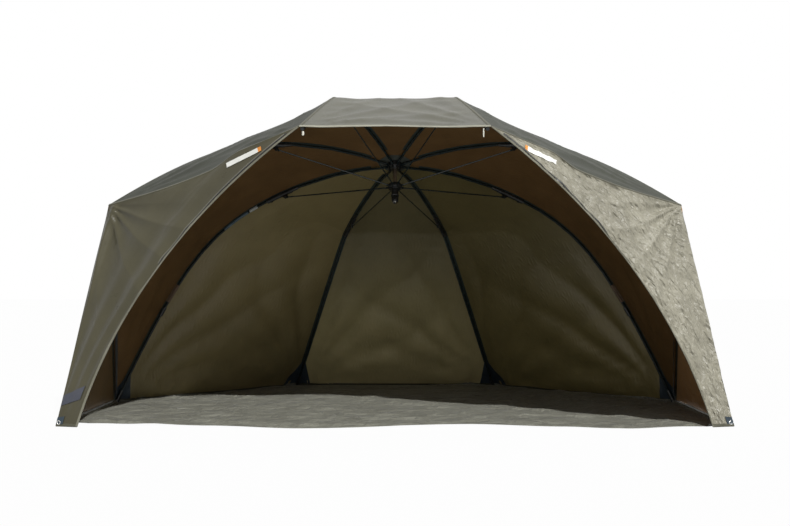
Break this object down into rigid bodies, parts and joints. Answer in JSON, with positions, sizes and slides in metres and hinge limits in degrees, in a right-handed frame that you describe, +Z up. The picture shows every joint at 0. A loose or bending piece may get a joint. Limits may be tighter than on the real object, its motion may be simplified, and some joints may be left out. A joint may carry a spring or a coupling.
{
  "type": "fishing umbrella",
  "caption": "Oval shelter umbrella for bank fishing, with storm sides, push-up runner and a groundsheet.",
  "frame": {"origin": "on the ground, under the middle of the whole outline", "axes": "+X to the right of the opening's long side, -Y out of the front opening, +Z up"},
  "size_m": [2.6624, 1.8753, 1.331],
  "materials": {
    "moulding": "satin moulded",
    "rod": "pultruded glass rod, satin",
    "disc": "matt moulded",
    "aluminium": "brushed",
    "steel": "bright",
    "canopy_cloth": "coated nylon",
    "groundsheet": "coated cloth",
    "webbing": "woven",
    "tab_cloth": "woven"
  },
  "bodies": {
    "crown": {"crown_hub": "moulding", "hinge_ring": "steel", "crown_disc": "disc", "top_cap": "moulding"},
    "runner": {"runner": "moulding", "stub_shaft": "aluminium", "end_boss": "moulding", "pole_insert": "steel"},
    "catch_button": {"catch_button": "moulding"},
    "groundsheet": {"groundsheet": "groundsheet"},
    "peak_left_rib": {"peak_left_rib": "rod", "peak_left_bracket": "moulding", "peak_left_tip_cup": "moulding", "peak_panel": "canopy_cloth"},
    "peak_left_stretcher": {"peak_left_stretcher": "rod"},
    "peak_right_rib": {"peak_right_rib": "rod", "peak_right_bracket": "moulding", "peak_right_tip_cup": "moulding", "peak_shoulder_panel_right": "canopy_cloth"},
    "peak_right_stretcher": {"peak_right_stretcher": "rod"},
    "shoulder_left_rib": {"shoulder_left_rib": "rod", "shoulder_left_bracket": "moulding", "shoulder_left_tip_cup": "moulding", "peak_shoulder_panel_left": "canopy_cloth"},
    "shoulder_left_stretcher": {"shoulder_left_stretcher": "rod"},
    "shoulder_right_rib": {"shoulder_right_rib": "rod", "shoulder_right_bracket": "moulding", "shoulder_right_tip_cup": "moulding", "shoulder_side_panel_right": "canopy_cloth"},
    "shoulder_right_stretcher": {"shoulder_right_stretcher": "rod"},
    "side_left_rib": {"side_left_rib": "rod", "side_left_bracket": "moulding", "side_left_foot": "moulding", "side_left_ferrule": "moulding", "wall_tab_left": "tab_cloth", "shoulder_side_panel_left": "canopy_cloth", "storm_side_left": "canopy_cloth", "wall_strap_left": "webbing"},
    "side_left_stretcher": {"side_left_stretcher": "rod"},
    "side_right_rib": {"side_right_rib": "rod", "side_right_bracket": "moulding", "side_right_foot": "moulding", "side_right_ferrule": "moulding", "wall_tab_right": "tab_cloth", "side_rear_panel_right": "canopy_cloth", "storm_side_right": "canopy_cloth", "wall_strap_right": "webbing"},
    "side_right_stretcher": {"side_right_stretcher": "rod"},
    "rear_left_rib": {"rear_left_rib": "rod", "rear_left_bracket": "moulding", "rear_left_foot": "moulding", "side_rear_panel_left": "canopy_cloth"},
    "rear_left_stretcher": {"rear_left_stretcher": "rod"},
    "rear_right_rib": {"rear_right_rib": "rod", "rear_right_bracket": "moulding", "rear_right_foot": "moulding", "rear_panel": "canopy_cloth"},
    "rear_right_stretcher": {"rear_right_stretcher": "rod"}
  },
  "joints": [
    {"name": "runner_slide", "type": "slide", "parent": "crown", "child": "runner", "axis": [0, -0.4163, -0.9092], "range_m": [0, 0.7839], "deforming": ["groundsheet"]},
    {"name": "peak_left_rib_fold", "type": "hinge", "parent": "crown", "child": "peak_left_rib", "pos_m": [-0.00995, -0.02213, 1.11509], "axis": [0.9239, -0.3479, 0.1593], "range_deg": [0, 50], "deforming": ["peak_panel"]},
    {"name": "peak_left_stretcher_turn", "type": "hinge", "parent": "peak_left_rib", "child": "peak_left_stretcher", "pos_m": [-0.21845, -0.49739, 1.28624], "axis": [0.9239, -0.3479, 0.1593], "range_deg": [-97.72, 0]},
    {"name": "peak_right_rib_fold", "type": "hinge", "parent": "crown", "child": "peak_right_rib", "pos_m": [0.00995, -0.02213, 1.11509], "axis": [0.9239, 0.3479, -0.1593], "range_deg": [0, 50], "deforming": ["peak_shoulder_panel_right"]},
    {"name": "peak_right_stretcher_turn", "type": "hinge", "parent": "peak_right_rib", "child": "peak_right_stretcher", "pos_m": [0.21845, -0.49739, 1.28624], "axis": [0.9239, 0.3479, -0.1593], "range_deg": [-97.72, 0]},
    {"name": "shoulder_left_rib_fold", "type": "hinge", "parent": "crown", "child": "shoulder_left_rib", "pos_m": [-0.02402, -0.00934, 1.10923], "axis": [0.3827, -0.84, 0.3846], "range_deg": [0, 50], "deforming": ["peak_shoulder_panel_left"]},
    {"name": "shoulder_left_stretcher_turn", "type": "hinge", "parent": "shoulder_left_rib", "child": "shoulder_left_stretcher", "pos_m": [-0.52739, -0.21649, 1.15764], "axis": [0.3827, -0.84, 0.3846], "range_deg": [-97.72, 0]},
    {"name": "shoulder_right_rib_fold", "type": "hinge", "parent": "crown", "child": "shoulder_right_rib", "pos_m": [0.02402, -0.00934, 1.10923], "axis": [0.3827, 0.84, -0.3846], "range_deg": [0, 50], "deforming": ["shoulder_side_panel_right"]},
    {"name": "shoulder_right_stretcher_turn", "type": "hinge", "parent": "shoulder_right_rib", "child": "shoulder_right_stretcher", "pos_m": [0.52739, -0.21649, 1.15764], "axis": [0.3827, 0.84, -0.3846], "range_deg": [-97.72, 0]},
    {"name": "side_left_rib_fold", "type": "hinge", "parent": "crown", "child": "side_left_rib", "pos_m": [-0.02402, 0.00876, 1.10095], "axis": [-0.3827, -0.84, 0.3846], "range_deg": [0, 50], "deforming": ["shoulder_side_panel_left", "storm_side_left", "wall_strap_left"]},
    {"name": "side_left_stretcher_turn", "type": "hinge", "parent": "side_left_rib", "child": "side_left_stretcher", "pos_m": [-0.52739, 0.18076, 0.97576], "axis": [-0.3827, -0.84, 0.3846], "range_deg": [-97.72, 0]},
    {"name": "side_right_rib_fold", "type": "hinge", "parent": "crown", "child": "side_right_rib", "pos_m": [0.02402, 0.00876, 1.10095], "axis": [-0.3827, 0.84, -0.3846], "range_deg": [0, 50], "deforming": ["side_rear_panel_right", "storm_side_right", "wall_strap_right"]},
    {"name": "side_right_stretcher_turn", "type": "hinge", "parent": "side_right_rib", "child": "side_right_stretcher", "pos_m": [0.52739, 0.18076, 0.97576], "axis": [-0.3827, 0.84, -0.3846], "range_deg": [-97.72, 0]},
    {"name": "rear_left_rib_fold", "type": "hinge", "parent": "crown", "child": "rear_left_rib", "pos_m": [-0.00995, 0.02155, 1.09509], "axis": [-0.9239, -0.3479, 0.1593], "range_deg": [0, 50], "deforming": ["side_rear_panel_left"]},
    {"name": "rear_left_stretcher_turn", "type": "hinge", "parent": "rear_left_rib", "child": "rear_left_stretcher", "pos_m": [-0.21845, 0.46166, 0.84715], "axis": [-0.9239, -0.3479, 0.1593], "range_deg": [-97.72, 0]},
    {"name": "rear_right_rib_fold", "type": "hinge", "parent": "crown", "child": "rear_right_rib", "pos_m": [0.00995, 0.02155, 1.09509], "axis": [-0.9239, 0.348, -0.1593], "range_deg": [0, 50], "deforming": ["rear_panel"]},
    {"name": "rear_right_stretcher_turn", "type": "hinge", "parent": "rear_right_rib", "child": "rear_right_stretcher", "pos_m": [0.21845, 0.46166, 0.84715], "axis": [-0.9239, 0.348, -0.1593], "range_deg": [-97.72, 0]},
    {"name": "button_press", "type": "slide", "parent": "runner", "child": "catch_button", "axis": [0, 0.9092, -0.4163], "range_m": [0, 0.0016], "stiffness_N_per_m": 800, "springref_m": -0.002},
    {"name": "groundsheet_pull", "type": "slide", "parent": "crown", "child": "groundsheet", "axis": [0, -1, 0], "range_m": [0, 1.7]}
  ],
  "couplings": [
    {"joint": "peak_left_rib_fold", "follows": "runner_slide", "rad_per_m": 1.1132},
    {"joint": "peak_left_stretcher_turn", "follows": "runner_slide", "rad_per_m": -2.1757},
    {"joint": "peak_right_rib_fold", "follows": "runner_slide", "rad_per_m": 1.1132},
    {"joint": "peak_right_stretcher_turn", "follows": "runner_slide", "rad_per_m": -2.1757},
    {"joint": "shoulder_left_rib_fold", "follows": "runner_slide", "rad_per_m": 1.1132},
    {"joint": "shoulder_left_stretcher_turn", "follows": "runner_slide", "rad_per_m": -2.1757},
    {"joint": "shoulder_right_rib_fold", "follows": "runner_slide", "rad_per_m": 1.1132},
    {"joint": "shoulder_right_stretcher_turn", "follows": "runner_slide", "rad_per_m": -2.1757},
    {"joint": "side_left_rib_fold", "follows": "runner_slide", "rad_per_m": 1.1132},
    {"joint": "side_left_stretcher_turn", "follows": "runner_slide", "rad_per_m": -2.1757},
    {"joint": "side_right_rib_fold", "follows": "runner_slide", "rad_per_m": 1.1132},
    {"joint": "side_right_stretcher_turn", "follows": "runner_slide", "rad_per_m": -2.1757},
    {"joint": "rear_left_rib_fold", "follows": "runner_slide", "rad_per_m": 1.1132},
    {"joint": "rear_left_stretcher_turn", "follows": "runner_slide", "rad_per_m": -2.1757},
    {"joint": "rear_right_rib_fold", "follows": "runner_slide", "rad_per_m": 1.1132},
    {"joint": "rear_right_stretcher_turn", "follows": "runner_slide", "rad_per_m": -2.1757}
  ]
}
